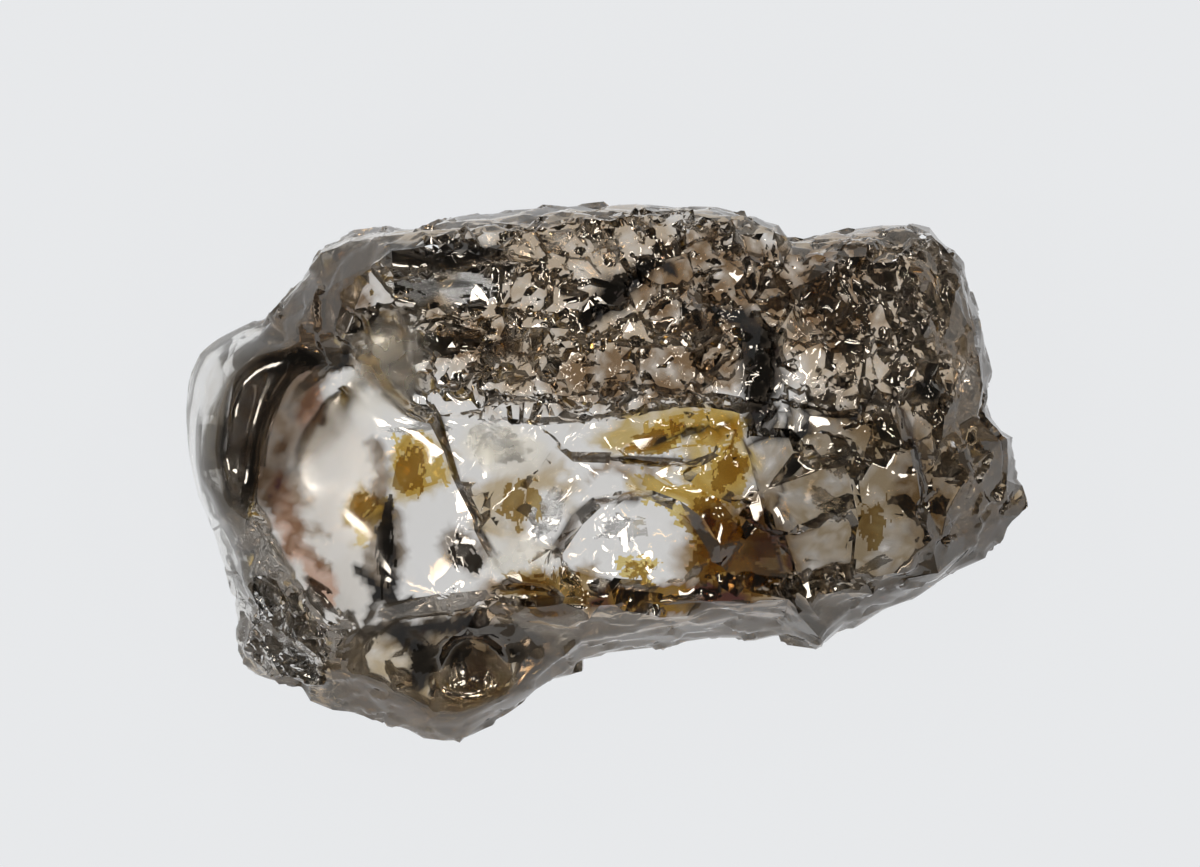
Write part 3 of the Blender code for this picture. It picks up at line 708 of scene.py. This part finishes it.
    def chip_height(self, place: Vector, size: float) -> float:
        """Height of a surface that is broken in small flat chips, each with its own lean.

        Args:
            place: A point in millimetres.
            size: How wide the chips are, in millimetres.

        Returns:
            The height in millimetres.
        """
        _, middles = noise.voronoi(place / size)
        lean = noise.cell_vector(middles[0] * self.lean_spread) - Vector((0.5, 0.5, 0.5))
        return self.chip_lean * lean.dot(place / size - middles[0]) * size

    def crumble(self, piece: bpy.types.Object) -> None:
        """Breaks the hackle in small chips and gives the clean faces a faint ripple.

        Args:
            piece: The crystal piece.
        """
        mesh = piece.data
        places = np.array([v.co for v in mesh.vertices]) / MM
        normals = np.array([v.normal for v in mesh.vertices])
        off_base = smooth_step(places[:, 2], *self.base_fade)
        steep = 1 - smooth_step(normals[:, 2], *self.steep_facing)
        steep *= 1 - self.glassy_rim.mask(places[:, 0], places[:, 1])
        rough = np.maximum(self.hackle_share(places), self.skirt_share * steep) * off_base
        for index in np.nonzero(off_base > self.least_share)[0]:
            at = Vector(places[index])
            rise = self.ripple * noise.noise(at / self.ripple_pitch) * float(off_base[index])
            if rough[index] > 2 * self.least_share:
                rise += float(rough[index]) * sum(self.chip_height(at, size) for size in self.chip_sizes)
            places[index] += normals[index] * rise
        mesh.vertices.foreach_set("co", (places * MM).ravel())
        mesh.update()

    def build(self) -> bpy.types.Object:
        """Copies the solid, merges its triangles, refines it and dresses it.

        Returns:
            The crystal piece.
        """
        solid = frame["nodes"][CRYSTAL_NODE]
        piece = bpy.data.objects.new("crystal_body", solid.data.copy())
        bpy.context.scene.collection.objects.link(piece)
        make_active(piece)
        bpy.ops.object.mode_set(mode="EDIT")
        bpy.ops.mesh.select_all(action="SELECT")
        bpy.ops.mesh.remove_doubles(threshold=self.weld)
        bpy.ops.object.mode_set(mode="OBJECT")
        self.split_long_edges(piece)
        self.soften(piece)
        self.crumble(piece)
        self.stains_and_shade.apply(piece.data)
        make_active(piece)
        bpy.ops.object.shade_smooth_by_angle(angle=math.radians(self.crisp_above))
        piece.data.materials.clear()
        piece.data.materials.append(self.finish.material())
        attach(piece, ROOT_BODY)
        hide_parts(CRYSTAL_NODE)
        log.info("crystal body: %d triangles", len(piece.data.polygons))
        return piece


class Stain(Enum):
    """What lies in a fracture inside the crystal."""

    IRON = "iron"
    RUST = "rust"
    GRAPHITE = "graphite"
    AIR = "air"


@dataclass(frozen=True)
class FractureFinish:
    """The look of a fracture: a film that lets part of the light straight through.

    Args:
        film: The colour of the film.
        through: The colour that it gives to light that passes straight through.
        cover: How much of the light the film stops and scatters.
        mirror: How much of that it reflects instead of scattering it.
        gloss_spread: How rough a mirroring film is.
        matt_spread: How rough a film is that doesn't mirror.
    """

    film: Colour
    through: Colour
    cover: float
    mirror: float = 0.0
    gloss_spread: float = 0.30
    matt_spread: float = 0.8

    def material(self, name: str) -> bpy.types.Material:
        """Wires the finish.

        Args:
            name: The material's name.

        Returns:
            The material.
        """
        material = bpy.data.materials.new(name)
        material.use_nodes = True
        wiring = Wiring(material.node_tree)
        film = wiring.node("ShaderNodeBsdfPrincipled")
        film.inputs["Base Color"].default_value = (*self.film, 1)
        film.inputs["Metallic"].default_value = self.mirror
        film.inputs["Roughness"].default_value = self.gloss_spread if self.mirror else self.matt_spread
        clear = wiring.node("ShaderNodeBsdfTransparent")
        clear.inputs["Color"].default_value = (*self.through, 1)
        blend = wiring.node("ShaderNodeMixShader")
        blend.inputs["Fac"].default_value = self.cover
        wiring.join(clear.outputs[0], blend.inputs[1])
        wiring.join(film.outputs[0], blend.inputs[2])
        out = wiring.node("ShaderNodeOutputMaterial")
        wiring.join(blend.outputs[0], out.inputs["Surface"])
        return material


FRACTURE_FINISHES = {
    Stain.IRON: FractureFinish((0.80, 0.58, 0.16), (0.93, 0.76, 0.32), 0.14),
    Stain.RUST: FractureFinish((0.36, 0.24, 0.08), (0.58, 0.44, 0.20), 0.18),
    Stain.GRAPHITE: FractureFinish((0.02, 0.018, 0.015), (0.35, 0.32, 0.28), 0.80),
    Stain.AIR: FractureFinish((0.97, 0.97, 0.96), (0.99, 0.99, 0.99), 0.75, 1.0, 0.26),
}
RIM_FINISH = FractureFinish((0.97, 0.97, 0.96), (0.99, 0.99, 0.99), 0.9, 1.0, 0.15)


@dataclass(frozen=True)
class Fracture:
    """One fracture inside the crystal: a curved, ragged sheet. Sizes are in millimetres."""

    stain: Stain
    middle: tuple[float, float]
    radii: tuple[float, float]
    depth: float
    turn: float = 0.0
    dip: float = 8.0
    dip_towards: float = 270.0


@dataclass(frozen=True)
class Curtain:
    """A steep air fracture that follows a line under the top. Sizes are in millimetres."""

    line: tuple[tuple[float, float], ...]
    high: float
    low: float = 0.9
    inward: float = 0.25

    def point(self, along: float, up: float) -> Vector:
        """A point of the curtain.

        Args:
            along: From -1 at the line's start to 1 at its end.
            up: From -1 at the foot to 1 at the top.

        Returns:
            The point, in metres.
        """
        run = (along + 1) / 2 * (len(self.line) - 1)
        first = min(int(run), len(self.line) - 2)
        x, y = Vector(self.line[first]).lerp(Vector(self.line[first + 1]), run - first)
        below = (1 - up) / 2
        shrink = 1 - self.inward * below / math.hypot(x, y)
        return Vector((x * shrink, y * shrink, self.high + (self.low - self.high) * below)) * MM


@dataclass
class InnerFractures:
    """The stained and the empty fractures under the crystal's surface."""

    crystal: bpy.types.Object
    rows: int = 26
    ragged: float = 0.45
    waver: float = 0.02 * MM
    hole_level: float = 0.42
    skin: float = 0.05 * MM
    bend: dict[Stain, float] = field(default_factory=lambda: {
        Stain.IRON: 0.16, Stain.RUST: 0.16, Stain.GRAPHITE: 0.16, Stain.AIR: 0.06})
    fractures: tuple[Fracture, ...] = (
        Fracture(Stain.IRON, (-1.80, 0.12), (0.34, 0.38), 0.20, 20),
        Fracture(Stain.RUST, (-1.92, 0.02), (0.20, 0.30), 0.24, -10),
        Fracture(Stain.IRON, (-2.32, -0.42), (0.22, 0.30), 0.22, -30),
        Fracture(Stain.RUST, (-2.40, -0.30), (0.14, 0.22), 0.26, -40),
        Fracture(Stain.IRON, (0.85, 0.44), (0.66, 0.26), 0.22, 8),
        Fracture(Stain.RUST, (0.55, 0.36), (0.40, 0.16), 0.26, 14),
        Fracture(Stain.IRON, (1.12, 0.02), (0.34, 0.38), 0.18, 15),
        Fracture(Stain.RUST, (1.24, 0.16), (0.20, 0.28), 0.24, -15),
        Fracture(Stain.IRON, (0.66, -0.22), (0.46, 0.22), 0.20, -22),
        Fracture(Stain.RUST, (0.95, -0.42), (0.28, 0.20), 0.24, -50),
        Fracture(Stain.IRON, (0.30, -0.88), (0.28, 0.18), 0.16),
        Fracture(Stain.RUST, (0.32, -0.92), (0.20, 0.14), 0.20),
        Fracture(Stain.RUST, (1.28, -0.78), (0.52, 0.48), 0.20),
        Fracture(Stain.IRON, (1.10, -0.66), (0.26, 0.30), 0.26, 30),
        Fracture(Stain.RUST, (-0.62, -1.08), (0.50, 0.24), 0.18),
        Fracture(Stain.RUST, (2.62, -0.42), (0.18, 0.32), 0.20),
        Fracture(Stain.RUST, (-0.88, -0.25), (0.24, 0.30), 0.20),
        Fracture(Stain.GRAPHITE, (-2.17, -0.70), (0.12, 0.52), 0.14, -4),
        Fracture(Stain.GRAPHITE, (0.08, 1.77), (0.42, 0.12), 0.16, 42),
        Fracture(Stain.GRAPHITE, (1.50, 1.02), (0.16, 0.52), 0.14, -6),
        Fracture(Stain.GRAPHITE, (-2.85, 1.13), (0.38, 0.11), 0.14, 4),
        Fracture(Stain.GRAPHITE, (-1.62, -1.68), (0.36, 0.26), 0.14, 24),
        Fracture(Stain.GRAPHITE, (-0.82, -1.62), (0.30, 0.16), 0.14, 12),
        Fracture(Stain.GRAPHITE, (-1.38, -0.78), (0.16, 0.24), 0.16, 30),
        Fracture(Stain.GRAPHITE, (-1.50, 1.30), (0.40, 0.10), 0.18, -6),
        Fracture(Stain.AIR, (-1.55, 1.84), (0.52, 0.22), 0.14, 0, 5.8, 150),
        Fracture(Stain.AIR, (-1.08, 0.32), (0.34, 0.22), 0.20, -10, 5.8, 237),
        Fracture(Stain.AIR, (-0.55, -0.36), (0.20, 0.34), 0.20, -14, 5.8, 300),
        Fracture(Stain.AIR, (0.20, -0.50), (0.34, 0.16), 0.20, 8, 5.8, 25),
        Fracture(Stain.AIR, (-0.40, -0.98), (0.08, 0.34), 0.18, 28, 5.8, 300),
        Fracture(Stain.AIR, (2.36, 0.16), (0.30, 0.18), 0.18, 30, 5.8, 88),
        Fracture(Stain.AIR, (2.20, -0.28), (0.26, 0.12), 0.18, -30, 5.8, 300),
        Fracture(Stain.AIR, (2.62, -0.82), (0.26, 0.08), 0.18, 16, 5.8, 237),
        Fracture(Stain.AIR, (-1.20, -1.26), (0.34, 0.09), 0.18, -16, 5.8, 300),
        Fracture(Stain.AIR, (-1.85, 0.46), (0.30, 0.08), 0.16, 6, 5.8, 150),
        Fracture(Stain.AIR, (3.24, 0.30), (0.08, 0.30), 0.18, -10, 5.8, 25),
        Fracture(Stain.AIR, (0.02, 2.22), (0.20, 0.14), 0.16, 20, 5.8, 237),
        Fracture(Stain.AIR, (-0.85, 1.16), (0.40, 0.14), 0.16, -6, 5.8, 88),
        Fracture(Stain.AIR, (-0.50, 2.22), (0.24, 0.10), 0.16, 30, 5.8, 150),
        Fracture(Stain.AIR, (1.92, 1.42), (0.20, 0.12), 0.16, -30, 5.8, 300),
        Fracture(Stain.AIR, (-1.30, 1.50), (0.20, 0.08), 0.16, 10, 5.8, 25),
    )
    curtains: tuple[Curtain, ...] = (
        Curtain(((-2.95, 1.38), (-3.35, 1.20), (-3.60, 0.92), (-3.70, 0.50), (-3.72, 0.10), (-3.64, -0.25)),
                high=2.75),
        Curtain(((-3.58, -0.35), (-3.46, -0.80), (-3.28, -1.20), (-3.04, -1.58), (-2.72, -1.85)), high=2.45),
    )

    def top_at(self, x: float, y: float) -> float:
        """Height of the crystal's top over a place, in metres."""
        hit, place, _, _ = self.crystal.ray_cast(Vector((x, y, 10 * MM)), Vector((0, 0, -1)))
        return place.z if hit else 0.0

    def is_buried(self, place: Vector) -> bool:
        """Whether a place lies in the crystal, with a skin of crystal above it."""
        hit, above, normal, _ = self.crystal.ray_cast(place, Vector((0, 0, 1)))
        return hit and normal.z > 0 and above.z - place.z > self.skin

    def is_broken(self, place: Vector, seed: Vector) -> bool:
        """Whether a place of the square grid lies past the ragged edge or in a hole.

        Args:
            place: A point of the grid, from -1 to 1.
            seed: What makes this sheet's edge its own.

        Returns:
            Whether the sheet is missing there.
        """
        edge = 1 - self.ragged * (0.5 + noise.fractal(place * 1.6 + seed, 0.7, 2.0, 4))
        return place.length > edge or noise.noise(place * 3.4 + seed) > self.hole_level

    def break_away(self, sheet: bpy.types.Object, is_gone: Callable[[bpy.types.MeshPolygon], bool]) -> None:
        """Deletes some faces of a sheet.

        Args:
            sheet: The sheet.
            is_gone: Says of a face whether it goes.
        """
        make_active(sheet)
        bpy.ops.object.mode_set(mode="EDIT")
        bpy.ops.mesh.select_mode(type="FACE")
        bpy.ops.mesh.select_all(action="DESELECT")
        bpy.ops.object.mode_set(mode="OBJECT")
        for face in sheet.data.polygons:
            face.select = is_gone(face)
        bpy.ops.object.mode_set(mode="EDIT")
        bpy.ops.mesh.delete(type="FACE")
        bpy.ops.object.mode_set(mode="OBJECT")

    def trim(self, sheet: bpy.types.Object) -> None:
        """Takes away what would stick out of the crystal."""
        buried = [self.is_buried(vertex.co) for vertex in sheet.data.vertices]
        self.break_away(sheet, lambda face: not all(buried[index] for index in face.vertices))

    def lay(self, fracture: Fracture) -> Matrix:
        """How a flat sheet is turned and moved to its place under the top.

        Args:
            fracture: What it is, and where.

        Returns:
            The turn and the move.
        """
        turn, dip, towards = (math.radians(a) for a in (fracture.turn, fracture.dip, fracture.dip_towards))
        x, y = (c * MM for c in fracture.middle)
        top = min(self.top_at(x + 0.1 * MM * i, y + 0.1 * MM * j) for i in (-1, 0, 1) for j in (-1, 0, 1))
        axis = Vector((-math.sin(towards), math.cos(towards), 0))
        return (Matrix.Translation((x, y, top - fracture.depth * MM)) @ Matrix.Rotation(dip, 4, axis)
                @ Matrix.Rotation(turn, 4, "Z"))

    def bowed(self, fracture: Fracture, place: Vector, seed: Vector) -> Vector:
        """A place of the square grid, drawn out to the fracture's size and bent.

        Args:
            fracture: What it is, and where.
            place: A point of the grid, from -1 to 1.
            seed: What makes this sheet's bend its own.

        Returns:
            The point, in metres.
        """
        bow = self.bend[fracture.stain] * noise.noise(place * 1.3 + seed) * min(fracture.radii)
        return Vector((place.x * fracture.radii[0], place.y * fracture.radii[1], bow)) * MM

    def add_sheet(self, fracture: Fracture, number: int, finish: bpy.types.Material) -> bpy.types.Object:
        """Makes one fracture: a fine grid whose outside is broken away, bent, turned and laid in place.

        Args:
            fracture: What it is, and where.
            number: Its number among its kind.
            finish: Its material.

        Returns:
            The sheet.
        """
        deselect_all()
        bpy.ops.mesh.primitive_grid_add(x_subdivisions=self.rows, y_subdivisions=self.rows, size=2)
        sheet = bpy.context.object
        sheet.name = sheet.data.name = f"{fracture.stain.value}_fracture_{number:02d}"
        seed = Vector((fracture.middle[0] * 3.1, fracture.middle[1] * 2.7, number * 1.9))
        self.break_away(sheet, lambda face: self.is_broken(face.center, seed))
        lay = self.lay(fracture)
        for vertex in sheet.data.vertices:
            vertex.co = lay @ self.bowed(fracture, vertex.co, seed)
        self.trim(sheet)
        sheet.data.materials.append(finish)
        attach(sheet, ROOT_BODY)
        return sheet

    def add_curtain(self, curtain: Curtain, number: int, finish: bpy.types.Material) -> bpy.types.Object:
        """Hangs a steep fracture behind the glassy rim.

        Args:
            curtain: Where it hangs.
            number: Its number among its kind.
            finish: Its material.

        Returns:
            The curtain.
        """
        deselect_all()
        bpy.ops.mesh.primitive_grid_add(x_subdivisions=self.rows, y_subdivisions=self.rows // 2, size=2)
        sheet = bpy.context.object
        sheet.name = sheet.data.name = f"rim_fracture_{number:02d}"
        for vertex in sheet.data.vertices:
            waver = self.waver * noise.noise_vector(vertex.co * 3)
            vertex.co = curtain.point(vertex.co.x, vertex.co.y) + waver
        self.trim(sheet)
        sheet.data.materials.append(finish)
        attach(sheet, ROOT_BODY)
        return sheet

    def build(self) -> list[bpy.types.Object]:
        """Lays every fracture.

        Returns:
            The sheets.
        """
        sheets = []
        for stain, look in FRACTURE_FINISHES.items():
            finish = look.material(f"{stain.value}_fracture_film")
            kind = [f for f in self.fractures if f.stain is stain]
            sheets += [self.add_sheet(f, number, finish) for number, f in enumerate(kind, 1)]
        silver = RIM_FINISH.material("rim_fracture_film")
        for number, curtain in enumerate(self.curtains, 1):
            sheets.append(self.add_curtain(curtain, number, silver))
        log.info("inner fractures: %d sheets", len(sheets))
        return sheets


def main() -> None:
    """Builds the studio, the crystal and its inner fractures, which log their triangles and sheets."""
    logging.basicConfig(level=logging.INFO, format="%(message)s")
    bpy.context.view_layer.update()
    Studio().build()
    crystal = CrystalBody().build()
    InnerFractures(crystal).build()


if __name__ == "__main__":
    main()
